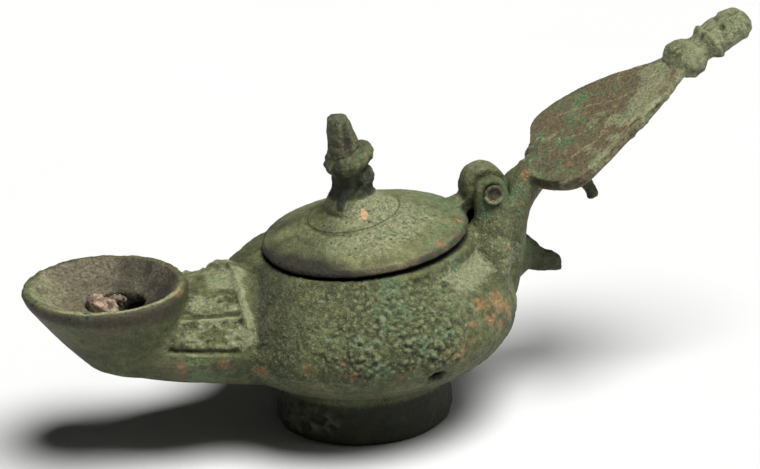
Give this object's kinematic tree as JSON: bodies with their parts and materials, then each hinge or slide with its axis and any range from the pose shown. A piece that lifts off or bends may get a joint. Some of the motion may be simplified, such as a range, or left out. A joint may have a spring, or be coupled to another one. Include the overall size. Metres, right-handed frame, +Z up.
{
  "type": "oil lamp",
  "caption": "Cast bronze oil lamp with a squat bowl on a ring foot, a broad spout with flaring mouth, a hinged domed lid with knob, and a leaf-shaped thumb rest.",
  "frame": {"origin": "on the ground, under the middle of the lamp's length and width", "axes": "+X from the mouth to the handle along the lamp's length, +Y to the far side of the pictured view, +Z up"},
  "size_m": [0.175, 0.072, 0.0838],
  "materials": {
    "body_bronze": "dark olive-green patina, pitted and crusted",
    "lid_bronze": "olive-grey patina, pitted",
    "pin_bronze": "brown-green patina, worn",
    "residue": "matt, crumbly"
  },
  "bodies": {
    "lamp": {"lamp_body": "body_bronze", "hinge_pin": "pin_bronze", "wick_residue": "residue"},
    "lid": {"lid": "lid_bronze"}
  },
  "joints": [
    {"name": "lid_hinge", "type": "hinge", "parent": "lamp", "child": "lid", "pos_m": [0.02122, 0, 0.0509], "axis": [0, 1, 0], "range_deg": [0, 117]}
  ]
}
